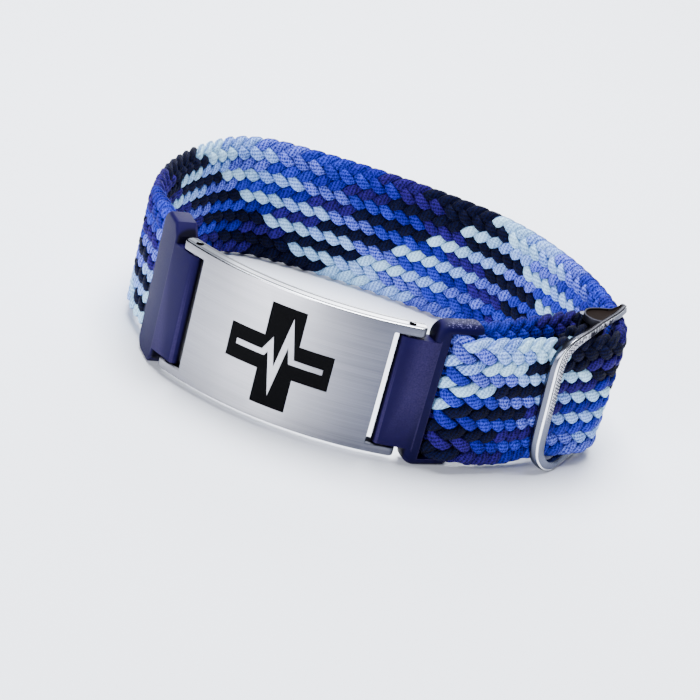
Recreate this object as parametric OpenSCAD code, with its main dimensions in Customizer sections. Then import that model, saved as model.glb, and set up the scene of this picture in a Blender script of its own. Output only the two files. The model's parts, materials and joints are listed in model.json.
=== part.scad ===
// Medical alert bracelet: a curved steel plate, two moulded links, a flat braided strap that
// runs round the wrist, back through the right link and onto a slide buckle.
// The plan is drawn with the middle of the plate's face at the origin, and place() moves it
// to the middle of the finished loop, standing on z = 0.

/* [Plate] */
// Radius of the plate's outer face
plate_r = 48; // [40:1:70]
// Length of the plate along its face, between the two spring bars
plate_len = 37; // [31:0.5:45]
// Height of the plate
plate_h = 22; // [20:0.5:26]
// Thickness of the steel
plate_t = 2.4; // [1.6:0.1:3]
// Depth of the notch between two lugs, from the spring bar inwards
notch_depth = 2.35; // [2:0.05:4]
// Height of one lug
lug_h = 1.5; // [1.2:0.1:2]
// Length of a lug, from the middle of the spring bar to its tip
lug_reach = 2.3; // [1.8:0.1:2.6]
// Chamfer of the plate's long edges
plate_chamfer = 0.3; // [0.1:0.05:0.5]

/* [Emblem] */
// Span of the enamel cross
cross_span = 17; // [12:0.5:18]
// Width of one arm of the cross
cross_arm = 5.75; // [4:0.25:8]
// Width of the bare steel pulse line inside the cross
pulse_w = 0.9; // [0.4:0.05:1]
// Depth of the recess that holds the enamel
recess_depth = 0.4; // [0.3:0.05:0.6]

/* [Spring bars] */
// Diameter of the bar
bar_d = 1.3; // [1.1:0.1:1.5]
// Diameter of the pin at each end of the bar
pin_d = 0.8; // [0.6:0.05:1]

/* [Connectors] */
// Length of the tongue, from the spring bar to the frame
tongue_len = 3.3; // [2.8:0.1:6]
// Thickness of the tongue
tongue_t = 2.4; // [2.2:0.1:2.8]
// Length of the right frame along the strap
frame_len_right = 8.2; // [8:0.1:10]
// Length of the left frame along the strap
frame_len_left = 7.2; // [6.8:0.1:9]
// Height of the frame
frame_h = 24.4; // [24:0.2:27]
// Thickness of the frame
frame_t = 3.6; // [3.4:0.1:4.4]
// Radius of the frame's corners, seen from the front
frame_corner = 2.3; // [1.5:0.1:2.6]
// Height of the frame's walls above and below the strap
frame_rim = 1.35; // [1:0.05:1.5]
// Width of the post between the tongue and the strap slot
inner_post = 2.4; // [1.8:0.1:3]
// Radius of the round post that the strap turns on
post_r = 1.1; // [0.9:0.05:1.2]
// Depth of the pocket that holds the fixed end of the strap
pocket_depth = 3.5; // [2.5:0.25:5]
// Swing of the right tongue from the plate's chord
tongue_angle_right = 27; // [22:1:34]
// Swing of the left tongue from the plate's chord
tongue_angle_left = 35; // [28:1:40]
// Bend between a tongue and its frame
frame_bend_angle = 15; // [8:1:20]

/* [Strap] */
// How much wider the strap is where it lies free than in the link's slot
strap_spread = 1.1; // [0.4:0.1:1.6]
// Thickness of the strap
strap_t = 2.8; // [2.2:0.1:3]
// Thickness of the pressed end in the pocket
end_t = 2.2; // [1.8:0.1:2.4]
// How much narrower the strap's pressed end is than the strap in the slot
end_less = 1; // [0.4:0.1:2]
// Mean radius of the loop, which the bends of the route follow
loop_r = 30; // [28:0.5:36]
// Length of the folded end that lies between the two layers
fold_len = 6; // [4:0.5:8]
// Space between the folded end and the outer layer
ply_gap = 1; // [0.6:0.1:1.6]

/* [Buckle] */
// Distance of the front bar from the fold of the strap, along the strap
buckle_reach = 10.2; // [8:0.2:11]
// Lean of the buckle along the strap, for each millimetre of its height
buckle_lean = 0.07; // [0:0.01:0.1]
// Width of the front bar
front_w = 2.7; // [1.8:0.1:3]
// Thickness of the front bar and its arms
front_t = 1.3; // [1:0.05:1.5]
// Thickness of the inner bar that the strap is folded over
inner_t = 1.2; // [0.8:0.05:1.5]
// Length of the inner bar along the strap
inner_bar_len = 1.6; // [1.2:0.1:3]
// Thickness of a side plate
side_t = 1.1; // [0.8:0.05:1.2]
// Length of a side plate, from the inner bar to the tip
side_len = 10; // [9:0.25:12]

/* [Clearances] */
// Gap between two pieces that touch on the real thing
fit = 0.15; // [0.1:0.01:0.2]
// Gap between the strap's edges and the buckle's arms
edge_gap = 0.3; // [0.2:0.05:0.5]

/* [Hidden] */
$fn = 64;
left = -1;
right = 1;
steel_colour = [0.72, 0.72, 0.74];
plastic_colour = [0.13, 0.12, 0.32];
strap_colour = [0.16, 0.26, 0.62];
enamel_colour = [0.02, 0.02, 0.02];

// Plate and spring bars
bar_angle = plate_len / 2 / plate_r * 180 / PI;
mid_r = plate_r - plate_t / 2;
notch_angle = bar_angle - notch_depth / mid_r * 180 / PI;
notch_h = plate_h - 2 * lug_h;
tongue_h = notch_h - 4 * fit;
function ring_place(side, angle) = [side * mid_r * sin(angle), plate_r - mid_r * cos(angle)];
function bar_place(side) = ring_place(side, bar_angle);
// The lug's rounded tip is a little slimmer and lower than the lug
tip_d = 0.86 * plate_t;
tip_h = 0.86 * lug_h;
lug_angle = bar_angle + (lug_reach - tip_d / 2) / mid_r * 180 / PI;

// Directions. A heading is an angle in plan, and the strap travels anticlockwise from the
// right link. along() points along a heading and across() points out of the loop beside it.
function along(h) = [cos(h), sin(h)];
function across(h) = [sin(h), -cos(h)];
frame_angle_right = tongue_angle_right + frame_bend_angle;
frame_angle_left = tongue_angle_left + frame_bend_angle;
function tongue_angle(side) = side == right ? tongue_angle_right : tongue_angle_left;
function frame_angle(side) = side == right ? frame_angle_right : frame_angle_left;
function lean_along(side, lean) = [side * cos(lean), sin(lean)];
function frame_root(side) = bar_place(side) + tongue_len * lean_along(side, tongue_angle(side));

// Widths of the strap: in the slot and the buckle, lying free, and pressed into the left link
slot_w = frame_h - 2 * frame_rim - 2 * fit;
strap_w = slot_w + strap_spread;
end_w = slot_w - end_less;

// Right link: slot, post and the turn of the strap on the post
turn_r = post_r + fit + strap_t / 2;
slot_len = strap_t + 2 * fit;
post_place = inner_post + slot_len / 2 + turn_r;
post_centre = frame_root(right) + post_place * lean_along(right, frame_angle_right);
outer_start = post_centre + turn_r * across(frame_angle_right);
inner_start = post_centre - turn_r * across(frame_angle_right);

// Left link: the strap's pressed end stops short of the pocket's floor
end_heading = 360 - frame_angle_left;
pocket_mouth = frame_root(left) + frame_len_left * lean_along(left, frame_angle_left);
end_inside = pocket_depth - fit;

// Route of the outer layer, from the post round the wrist to the left link. Each row is one
// bend: its radius as a share of loop_r, and its turn as a share of the whole turn. The
// corner over the buckle is a bend of its own, as tight as the fold inside it lets it be.
BEND = 0;
SHARE = 1;
whole_turn = end_heading - frame_angle_right;
fold_r = inner_t / 2 + fit + strap_t / 2;
corner_r = fold_r + strap_t + ply_gap;
lead_in = [2.6, 0.037];
corner_share = 0.217;
round_back = [
    [1.66, 0.134],
    [0.97, 0.106],
    [3.50, 0.074],
    [0.39, 0.219],
    [1.59, 0.138],
    [0.27, 0.075]];
straight = 0;
RADIUS = 0;
TURN = 1;
bends = concat([[lead_in[BEND] * loop_r, lead_in[SHARE] * whole_turn]],
    [[corner_r, corner_share * whole_turn]],
    [for (row = round_back) [row[BEND] * loop_r, row[SHARE] * whole_turn]]);
run_heading = frame_angle_right + bends[0][TURN];

// A row of a route is [radius, turn], or [straight, length]. move() is its step in plan.
function move(h, row) = row[RADIUS] == straight ? row[TURN] * along(h)
    : abs(row[RADIUS]) * sign(row[TURN]) * (across(h + row[TURN]) - across(h));
function turn_of(row) = row[RADIUS] == straight ? 0 : row[TURN];
function states(start, heading, rows) = [for (i = 0, p = start, h = heading; i <= len(rows);
    p = p + (i < len(rows) ? move(h, rows[i]) : [0, 0]),
    h = h + (i < len(rows) ? turn_of(rows[i]) : 0), i = i + 1) [p[0], p[1], h]];
function last(list) = list[len(list) - 1];
function plan(p) = [p[0], p[1]];

// The two straights, after the lead-in and before the left link, are what closes the loop
bends_only = plan(last(states(outer_start, frame_angle_right, bends)));
to_close = pocket_mouth - bends_only;
run_dir = along(run_heading);
end_dir = along(end_heading);
closing_area = run_dir[0] * end_dir[1] - run_dir[1] * end_dir[0];
run_len = (to_close[0] * end_dir[1] - to_close[1] * end_dir[0]) / closing_area;
end_len = (run_dir[0] * to_close[1] - run_dir[1] * to_close[0]) / closing_area;
outer_rows = concat([bends[0], [straight, run_len]],
    [for (i = [1 : len(bends) - 1]) bends[i]], [[straight, end_len + end_inside]]);

// Buckle and the fold of the strap share the centre of the corner
corner_start = outer_start + move(frame_angle_right, bends[0]) + run_len * run_dir;
corner_centre = corner_start - corner_r * across(run_heading);

// Inner layer: a gentle bend beside the post, a tangent to the fold, the fold, the loose end
ease_r = 25;
ease_centre = inner_start - ease_r * across(frame_angle_right);
fold_entry_guess = corner_centre - fold_r * across(run_heading);
to_fold = fold_entry_guess - ease_centre;
tangent_len = sqrt(to_fold * to_fold - ease_r * ease_r);
inner_heading = atan2(to_fold[1], to_fold[0]) + atan(ease_r / tangent_len);
fold_entry = corner_centre - fold_r * across(inner_heading);
ease_end = inner_start + move(frame_angle_right, [ease_r, inner_heading - frame_angle_right]);
inner_len = norm(fold_entry - ease_end);
inner_bend = inner_heading - frame_angle_right;
loose_start = corner_centre + fold_r * across(inner_heading) - fold_len * along(inner_heading);
inner_rows = [[straight, fold_len], [fold_r, 180], [straight, inner_len],
    [-ease_r, -inner_bend], [turn_r, 180]];

// Points of a route, close enough that each bend looks round
step_len = 3;
step_turn = 15;
function steps(row) = row[RADIUS] == straight ? max(1, ceil(row[TURN] / step_len))
    : max(2, ceil(abs(row[TURN]) / step_turn),
        ceil(abs(row[RADIUS] * row[TURN]) * PI / 180 / step_len));
function part_of(row, f) = row[RADIUS] == straight ? [straight, row[TURN] * f]
    : [row[RADIUS], row[TURN] * f];
function trace(start, heading, rows) = let (at = states(start, heading, rows))
    [for (i = [0 : len(rows) - 1]) let (n = steps(rows[i])) for (k = [0 : n - 1])
        let (row = part_of(rows[i], k / n), p = plan(at[i]) + move(at[i][2], row))
        [p[0], p[1], at[i][2] + turn_of(row)]];
inner_line = trace(loose_start, inner_heading, inner_rows);
outer_line = concat(trace(outer_start, frame_angle_right, outer_rows),
    [last(states(outer_start, frame_angle_right, outer_rows))]);

// Lengths along the outer layer, and the sag of the strap onto the surface behind
outer_steps = [for (i = [1 : len(outer_line) - 1])
    norm(plan(outer_line[i]) - plan(outer_line[i - 1]))];
outer_at = [for (i = 0, s = 0; i < len(outer_line);
    s = s + (i < len(outer_steps) ? outer_steps[i] : 0), i = i + 1) s];
outer_len = last(outer_at);
function ease(t) = let (u = min(1, max(0, t))) u * u * (3 - 2 * u);
function blend(a, b, f) = a + (b - a) * f;
// How far the strap is spread to its free width and sunk onto the surface. Columns are the
// share of the outer layer's length and the share of the spread.
spread_rows = [[0, 0], [0.035, 0.8], [0.06, 0.8], [0.085, 0], [0.205, 0], [0.38, 1],
    [0.68, 1], [0.92, 0]];
function spread(s, i = 0) = i == len(spread_rows) - 1 ? spread_rows[i][1]
    : s / outer_len >= spread_rows[i + 1][0] ? spread(s, i + 1)
    : blend(spread_rows[i][1], spread_rows[i + 1][1],
        ease((s / outer_len - spread_rows[i][0]) / (spread_rows[i + 1][0] - spread_rows[i][0])));
rest_depth = frame_h / 2 - strap_w / 2;
function sag(s) = -rest_depth * spread(s) * (s < outer_len / 8 ? front_sag_share : 1);
front_sag_share = 0.4;
// The strap's section is pressed flat where it goes into the left link
press_len = 4;
function pressed(s) = ease((s - (outer_len - end_inside - press_len)) / press_len);

// Height of the whole thing and the place of the loop's middle
half_h = frame_h / 2;
outer_face = [for (q = outer_line) plan(q) + strap_t / 2 * across(q[2])];
low_x = min([for (p = outer_face) p[0]]);
high_x = max([for (p = outer_face) p[0]]);
high_y = max([for (p = outer_face) p[1]]);
middle = [(low_x + high_x) / 2, high_y / 2];
module place() translate([-middle[0], -middle[1], half_h]) children();

// Solid made of rings of points, closed at both ends
module rings_solid(rings) {
    n = len(rings[0]);
    m = len(rings);
    sides = [for (i = [0 : m - 2]) for (j = [0 : n - 1])
        [i * n + j, i * n + (j + 1) % n, (i + 1) * n + (j + 1) % n, (i + 1) * n + j]];
    caps = [[for (j = [n - 1 : -1 : 0]) j], [for (j = [0 : n - 1]) (m - 1) * n + j]];
    polyhedron([for (ring = rings) for (p = ring) p], concat(sides, caps), convexity = 8);
}

// Steel plate
module plate_profile() {
    c = plate_chamfer;
    h = plate_h / 2;
    inner = plate_r - plate_t;
    polygon([[inner, -h + c], [inner + c, -h], [plate_r - c, -h], [plate_r, -h + c],
        [plate_r, h - c], [plate_r - c, h], [inner + c, h], [inner, h - c]]);
}
// Turns a part of a ring so that its middle faces the front
module facing_front(half_angle) translate([0, plate_r, 0])
    rotate([0, 0, -90 - half_angle]) rotate_extrude(angle = 2 * half_angle, $fn = 180) children();
module notch(side) {
    beyond = 2 * lug_angle;
    span = beyond - notch_angle;
    start = side == right ? -90 + notch_angle : -90 - beyond;
    translate([0, plate_r, 0]) rotate([0, 0, start]) rotate_extrude(angle = span, $fn = 180)
        translate([plate_r - 2 * plate_t, -notch_h / 2]) square([3 * plate_t, notch_h]);
}
// A line of even width with mitred corners, as one outline, longer by more at each end
function beside(a, b) = let (d = unit(b - a)) [-d[1], d[0]];
function mitre(list, i) = i == 0 ? beside(list[0], list[1])
    : i == len(list) - 1 ? beside(list[i - 1], list[i])
    : let (m = beside(list[i - 1], list[i]), n = beside(list[i], list[i + 1])) (m + n) / (1 + m * n);
function longer(list, more) = let (n = len(list) - 1) [for (i = [0 : n])
    i == 0 ? list[0] + more * unit(list[0] - list[1])
    : i == n ? list[n] + more * unit(list[n] - list[n - 1]) : list[i]];
module stroke(line, width, more) {
    points = longer(line, more);
    polygon(concat([for (i = [0 : len(points) - 1]) points[i] + width / 2 * mitre(points, i)],
        [for (i = [len(points) - 1 : -1 : 0]) points[i] - width / 2 * mitre(points, i)]));
}
// Pulse line inside the cross: columns are shares of half the span, along and up
pulse = [[-0.84, 0], [-0.3, 0], [-0.19, 0.2], [-0.04, -0.5], [0.13, 0.54], [0.25, 0],
    [0.84, 0]];
module cross_shape(inset) {
    span = cross_span - 2 * inset;
    arm = cross_arm - 2 * inset;
    difference() {
        union() {
            square([span, arm], center = true);
            square([arm, span], center = true);
        }
        stroke([for (q = pulse) cross_span / 2 * q], pulse_w + 2 * inset, inset);
    }
}
// The cross as it lies in the plate's curved face, from depth below the face to its surface
module inlay(inset, depth, above) intersection() {
    translate([0, plate_r, 0]) difference() {
        cylinder(r = plate_r + above, h = cross_span, center = true, $fn = 180);
        cylinder(r = plate_r - depth, h = 2 * cross_span, center = true, $fn = 180);
    }
    translate([0, plate_t, 0]) rotate([90, 0, 0]) linear_extrude(2 * plate_t) cross_shape(inset);
}
module id_plate() color(steel_colour) place() difference() {
    union() {
        facing_front(lug_angle) plate_profile();
        for (side = [left, right]) for (up = [-1, 1]) {
            spot = ring_place(side, lug_angle);
            translate([spot[0], spot[1], up * (plate_h - lug_h) / 2])
                cylinder(d = tip_d, h = tip_h, center = true);
        }
    }
    for (side = [left, right]) {
        spot = bar_place(side);
        notch(side);
        translate([spot[0], spot[1], 0])
            cylinder(d = pin_d + fit, h = 2 * plate_h, center = true, $fn = 32);
    }
    inlay(0, recess_depth, plate_t);
}
module emblem() color(enamel_colour) place() inlay(fit / 3, recess_depth - fit / 3, -0.02);

// Spring bars
module spring_bar(side) {
    spot = bar_place(side);
    color(steel_colour) place() translate([spot[0], spot[1], 0]) {
        cylinder(d = bar_d, h = notch_h - 2 * fit, center = true, $fn = 32);
        cylinder(d = pin_d, h = plate_h - lug_h / 2, center = true, $fn = 32);
    }
}
module spring_bar_left() spring_bar(left);
module spring_bar_right() spring_bar(right);

// Moulded links. A link is drawn with its frame along X and its outside towards -Y, then
// turned to its lean. The left one is the mirror of the right one.
module rounded_plate(length, height, radius, thick) rotate([90, 0, 0])
    linear_extrude(thick, center = true) translate([length / 2, 0]) {
        square([length - 2 * radius, height], center = true);
        square([length, height - 2 * radius], center = true);
        for (x = [-1, 1]) for (z = [-1, 1])
            translate([x * (length / 2 - radius), z * (height / 2 - radius)]) circle(radius);
    }
module on_lean(side, spot, lean) translate([spot[0], spot[1], 0])
    rotate([0, 0, side == right ? lean : 180 - lean]) children();
// The tongue's barrel stands a little proud of its web
web_t = 0.92 * tongue_t;
into_frame = frame_t / 4;
module tongue(side) on_lean(side, bar_place(side), tongue_angle(side))
    linear_extrude(tongue_h, center = true) difference() {
        union() {
            translate([0, -web_t / 2]) square([tongue_len + into_frame, web_t]);
            circle(d = tongue_t);
        }
        circle(d = bar_d + 2 * fit, $fn = 32);
    }
window_h = slot_w + 2 * fit;
window_len = post_place + turn_r - inner_post;
module connector_right() color(plastic_colour) place() {
    difference() {
        union() {
            tongue(right);
            on_lean(right, frame_root(right), frame_angle_right)
                rounded_plate(frame_len_right, frame_h, frame_corner, frame_t);
        }
        on_lean(right, frame_root(right), frame_angle_right)
            translate([inner_post, -frame_t, -window_h / 2]) cube([window_len, 2 * frame_t, window_h]);
    }
    translate([post_centre[0], post_centre[1], 0])
        cylinder(r = post_r, h = window_h + 2 * fit, center = true);
}
module connector_left() color(plastic_colour) place() difference() {
    union() {
        tongue(left);
        on_lean(left, frame_root(left), frame_angle_left)
            rounded_plate(frame_len_left, frame_h, frame_corner, frame_t);
    }
    on_lean(left, frame_root(left), frame_angle_left)
        translate([frame_len_left - pocket_depth, -end_t / 2 - fit, -end_w / 2 - fit])
            cube([2 * pocket_depth, end_t + 2 * fit, end_w + 2 * fit]);
}

// Strap: one band from the folded loose end to the pressed end in the left link
edge_points = 5;
function strap_section(width, thick) = let (r = thick / 2)
    [for (up = [1, -1]) for (k = [0 : edge_points])
        let (a = 180 * k / edge_points, across_by = r * cos(a), up_by = r * sin(a))
        [up * across_by, up * (width / 2 - r + up_by)]];
function strap_ring(q, width, thick, z) = [for (s = strap_section(width, thick))
    [q[0] + s[0] * across(q[2])[0], q[1] + s[0] * across(q[2])[1], z + s[1]]];
strap_rings = concat(
    [for (q = inner_line) strap_ring(q, slot_w, strap_t, 0)],
    [for (i = [0 : len(outer_line) - 1]) let (s = outer_at[i], f = pressed(s))
        strap_ring(outer_line[i], blend(blend(slot_w, strap_w, spread(s)), end_w, f),
            blend(strap_t, end_t, f), sag(s))]);
module strap() color(strap_colour) place() rings_solid(strap_rings);

// Buckle. Its plan is drawn round the centre of the strap's corner, with X along the outer
// layer and the outside of the loop towards -Y.
arm_z = slot_w / 2 + edge_gap + side_t / 2;
front_out = corner_r + strap_t / 2 + fit + front_t / 2;
arm_w = side_t + 2 * (half_h - arm_z - side_t / 2);
ALONG = 0;
OUT = 1;
UP = 2;
WIDE = 3;
// Upper half of the front bar and its arm, from the middle of the bar to the tip. Columns:
// along as a share of buckle_reach, out as a share of front_out, height as a share of
// arm_z, and width from the arm's width at 0 to the front bar's at 1.
arm_rows = [
    [-1.00, 1.00, 0.00, 1.0],
    [-1.00, 1.00, 0.40, 1.0],
    [-0.99, 1.00, 0.62, 0.9],
    [-0.93, 1.00, 0.80, 0.6],
    [-0.80, 1.00, 0.93, 0.3],
    [-0.60, 0.93, 0.99, 0.1],
    [-0.32, 0.75, 0.99, 0.0],
    [-0.02, 0.54, 0.99, 0.0],
    [0.28, 0.35, 0.99, 0.0],
    [0.60, 0.14, 0.99, 0.0],
    [0.87, -0.08, 0.99, 0.0]];
// Place of a row in the upper half (up is 1) or the lower half (up is -1)
function leaned(z) = -buckle_lean * z;
function arm_point(row, up) = [row[ALONG] * buckle_reach + leaned(up * row[UP] * arm_z),
    -row[OUT] * front_out, up * row[UP] * arm_z, blend(arm_w, front_w, row[WIDE])];
arm_all = concat([for (i = [len(arm_rows) - 1 : -1 : 1]) arm_point(arm_rows[i], -1)],
    [for (row = arm_rows) arm_point(row, 1)]);
// Smooth curve through the rows
function through(a, b, c, d, t) = 0.5 * (2 * b + (c - a) * t + (2 * a - 5 * b + 4 * c - d) * t * t
    + (3 * b - a - 3 * c + d) * t * t * t);
arm_steps = 3;
function at_row(i) = arm_all[min(len(arm_all) - 1, max(0, i))];
arm_line = concat([for (i = [0 : len(arm_all) - 2]) for (k = [0 : arm_steps - 1])
    through(at_row(i - 1), at_row(i), at_row(i + 1), at_row(i + 2), k / arm_steps)],
    [last(arm_all)]);
// Section of the bar: a flat back, a wide textured slope, a ridge and a polished slope.
// Columns are share of half the width and share of the thickness, outside positive.
bar_section = [[-1, -0.5], [-1, 0.15], [0, 0.45], [0.5, 0.5], [1, 0.05], [1, -0.5]];
function unit(v) = v / norm(v);
function xyz(q) = [q[0], q[1], q[2]];
function arm_ring(i) = let (q = arm_line[i], a = xyz(arm_line[max(0, i - 1)]),
    b = xyz(arm_line[min(len(arm_line) - 1, i + 1)]), t = unit(b - a), outside = [0, -1, 0],
    side = unit(cross(outside, t)), out = cross(t, side))
    [for (s = bar_section) xyz(q) + s[0] * q[3] / 2 * side + s[1] * front_t * out];
module front_bar() rings_solid([for (i = [0 : len(arm_line) - 1]) arm_ring(i)]);
// Outline of a side plate: columns are share of side_len and share of front_out
side_outline = [[-0.10, 0.17], [-0.04, 0.05], [0.05, -0.04], [0.17, -0.07], [0.34, -0.05],
    [0.54, 0.00], [0.72, -0.07], [0.87, -0.16], [0.90, -0.08], [0.76, 0.08], [0.5, 0.22],
    [0.26, 0.38], [0.06, 0.50], [-0.05, 0.42], [-0.10, 0.30]];
module side_plate() linear_extrude(side_t, center = true)
    polygon([for (q = side_outline) [q[0] * side_len, -q[1] * front_out]]);
module inner_bar() rotate([0, 0, inner_heading - run_heading]) {
    translate([-inner_bar_len, -inner_t / 2, -arm_z]) cube([inner_bar_len, inner_t, 2 * arm_z]);
    for (x = [-inner_bar_len, 0]) translate([x, 0, 0])
        cylinder(d = inner_t, h = 2 * arm_z, center = true);
}

module slide_buckle() color(steel_colour) place() on_lean(right, corner_centre, run_heading) {
    front_bar();
    for (up = [-1, 1]) translate([leaned(up * arm_z), 0, up * arm_z]) side_plate();
    inner_bar();
}

id_plate();
emblem();
spring_bar_left();
spring_bar_right();
connector_left();
connector_right();
strap();
slide_buckle();
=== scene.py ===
# Looks of the medical alert bracelet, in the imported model's frame, in metres.
import bpy, json, math
import numpy as np
from contextlib import contextmanager
from mathutils import Matrix, Vector

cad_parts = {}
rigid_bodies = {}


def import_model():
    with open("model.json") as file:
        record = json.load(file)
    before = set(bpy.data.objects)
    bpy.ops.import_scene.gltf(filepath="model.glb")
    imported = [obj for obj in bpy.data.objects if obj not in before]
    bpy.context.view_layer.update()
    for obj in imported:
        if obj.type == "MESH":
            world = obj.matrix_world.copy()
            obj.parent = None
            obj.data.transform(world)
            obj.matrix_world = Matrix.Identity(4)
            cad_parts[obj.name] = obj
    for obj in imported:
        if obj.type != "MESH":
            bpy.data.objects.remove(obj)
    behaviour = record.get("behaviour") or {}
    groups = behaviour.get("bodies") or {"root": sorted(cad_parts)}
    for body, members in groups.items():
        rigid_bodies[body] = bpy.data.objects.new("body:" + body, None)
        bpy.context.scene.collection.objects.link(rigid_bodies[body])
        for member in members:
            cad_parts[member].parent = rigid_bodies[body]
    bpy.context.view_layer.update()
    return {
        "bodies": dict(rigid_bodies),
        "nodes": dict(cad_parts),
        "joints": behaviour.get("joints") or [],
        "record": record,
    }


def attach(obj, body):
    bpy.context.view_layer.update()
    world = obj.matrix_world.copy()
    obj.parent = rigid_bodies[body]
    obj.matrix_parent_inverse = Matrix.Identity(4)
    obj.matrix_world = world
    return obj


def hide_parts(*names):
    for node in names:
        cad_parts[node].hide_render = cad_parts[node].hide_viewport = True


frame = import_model()
MM = 0.001

# Middle of the loop, from the middle of the plate's face, and the height of the middle of
# the plate over the surface, in millimetres. Pieces are drawn from the plate's face.
MIDDLE = (4.908, 31.897)
MID_Z = 12.2


def placed(points):
    """Points in millimetres from the middle of the plate's face, in the model's frame."""
    return (np.asarray(points, float) - np.array([MIDDLE[0], MIDDLE[1], -MID_Z])) * MM


# The photograph's view of the middle of the plate's face: turn, height and roll in degrees,
# distance in millimetres, focal length and place in the picture in pixels
VIEW_TURN, VIEW_HEIGHT, VIEW_ROLL, VIEW_AWAY = 13.45, 25.0, 15.1, 331.0
PICTURE, FOCAL, SEEN_AT, SENSOR = 700, 2200.0, (277.9, 357.7), 36


def camera():
    turn, height, roll = (math.radians(a) for a in (VIEW_TURN, VIEW_HEIGHT, VIEW_ROLL))
    back = Vector((math.sin(turn) * math.cos(height), -math.cos(turn) * math.cos(height),
                   math.sin(height)))
    level = Vector((math.cos(turn), math.sin(turn), 0))
    up = back.cross(level)
    right = math.cos(roll) * level + math.sin(roll) * up
    top = -math.sin(roll) * level + math.cos(roll) * up
    off_x, off_y = (SEEN_AT[0] - PICTURE / 2) / FOCAL, (PICTURE / 2 - SEEN_AT[1]) / FOCAL
    place = VIEW_AWAY * (back - off_x * right - off_y * top)
    place = (place + Vector((-MIDDLE[0], -MIDDLE[1], MID_Z))) * MM
    data = bpy.data.cameras.new("camera")
    data.sensor_width = SENSOR
    data.lens = FOCAL / PICTURE * SENSOR
    data.clip_start = 0.01
    cam = bpy.data.objects.new("camera", data)
    cam.matrix_world = Matrix((
        (right.x, top.x, back.x, place.x), (right.y, top.y, back.y, place.y),
        (right.z, top.z, back.z, place.z), (0, 0, 0, 1)))
    bpy.context.scene.collection.objects.link(cam)
    bpy.context.scene.camera = cam


class Value:
    """A socket of a material. An expression on Values adds its Math nodes."""

    def __init__(self, finish, socket):
        self.finish, self.socket = finish, socket

    def calc(self, operation, *others):
        return self.finish.node("ShaderNodeMath", {"operation": operation}, dict(enumerate(others)))

    def __add__(self, other):
        return self.calc("ADD", self, other)

    def __radd__(self, other):
        return self.calc("ADD", other, self)

    def __sub__(self, other):
        return self.calc("SUBTRACT", self, other)

    def __rsub__(self, other):
        return self.calc("SUBTRACT", other, self)

    def __mul__(self, other):
        return self.calc("MULTIPLY", self, other)

    def __rmul__(self, other):
        return self.calc("MULTIPLY", other, self)

    def __pow__(self, other):
        return self.calc("POWER", self, other)

    def __abs__(self):
        return self.calc("ABSOLUTE", self)

    def sine(self):
        return self.calc("SINE", self)

    def ramp(self, low, high):
        """0 at low and 1 at high, eased."""
        return self.finish.node("ShaderNodeMapRange", {"interpolation_type": "SMOOTHSTEP"},
                                {"Value": self, "From Min": low, "From Max": high})

    def between(self, rise, fall):
        """1 from the end of the rise to the start of the fall, and 0 outside both."""
        return self.ramp(*rise) * (1 - self.ramp(*fall))

    def mix(self, a, b):
        """Colour a where this is 0 and b where it is 1."""
        return self.finish.blend("MIX", self, a, b)


class Finish:
    """A material. fixed are the sockets that are the same all over."""

    def __init__(self, name, **fixed):
        self.material = bpy.data.materials.new(name)
        self.material.use_nodes = True
        self.tree = self.material.node_tree
        self.tree.nodes.clear()
        self.skin = self.tree.nodes.new("ShaderNodeBsdfPrincipled")
        out = self.tree.nodes.new("ShaderNodeOutputMaterial")
        self.tree.links.new(self.skin.outputs[0], out.inputs[0])
        self.paint(**fixed)

    def feed(self, socket, value):
        if isinstance(value, Value):
            self.tree.links.new(value.socket, socket)
        elif isinstance(value, tuple) and len(value) == 3 and socket.type == "RGBA":
            socket.default_value = value + (1.0,)
        else:
            socket.default_value = value

    def paint(self, **sockets):
        for name, value in sockets.items():
            self.feed(self.skin.inputs[name.replace("_", " ")], value)
        return self

    def node(self, kind, settings, inputs, output=0):
        made = self.tree.nodes.new(kind)
        for name, value in settings.items():
            setattr(made, name, value)
        for name, value in inputs.items():
            self.feed(made.inputs[name], value)
        return Value(self, made.outputs[output])

    def place(self, scale=(1, 1, 1), shift=(0, 0, 0)):
        """Object coordinates in metres, scaled and then shifted."""
        where = self.node("ShaderNodeTexCoord", {}, {}, "Object")
        return self.node("ShaderNodeMapping", {},
                         {"Vector": where, "Scale": scale, "Location": shift})

    def parts(self, vector):
        """The three numbers of a vector."""
        split = self.node("ShaderNodeSeparateXYZ", {}, {"Vector": vector}).socket.node
        return [Value(self, output) for output in split.outputs]

    def drawn(self):
        """The place in the millimetres that the pieces are drawn in, as three numbers."""
        return self.parts(self.place((1 / MM,) * 3, (MIDDLE[0], MIDDLE[1], -MID_Z)))

    def away(self, spot):
        """Distance in plan from a spot, in millimetres."""
        x, y = self.drawn()[:2]
        return ((x - float(spot[0])) ** 2.0 + (y - float(spot[1])) ** 2.0) ** 0.5

    def uv(self, name):
        return self.parts(self.node("ShaderNodeUVMap", {"uv_map": name}, {}))[:2]

    def noise(self, scale, detail=2.0, where=None):
        return self.node("ShaderNodeTexNoise", {}, {"Vector": where or self.place(),
                                                    "Scale": scale, "Detail": detail})

    def blend(self, kind, amount, a, b):
        """Colour a with b laid over it. The colour sockets of a Mix node go by number."""
        return self.node("ShaderNodeMix", {"data_type": "RGBA", "blend_type": kind},
                         {0: amount, 6: a, 7: b}, 2)

    def bump(self, height, depth, strength):
        bump = self.node("ShaderNodeBump", {},
                         {"Height": height, "Distance": depth, "Strength": strength})
        return self.paint(Normal=bump)


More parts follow.
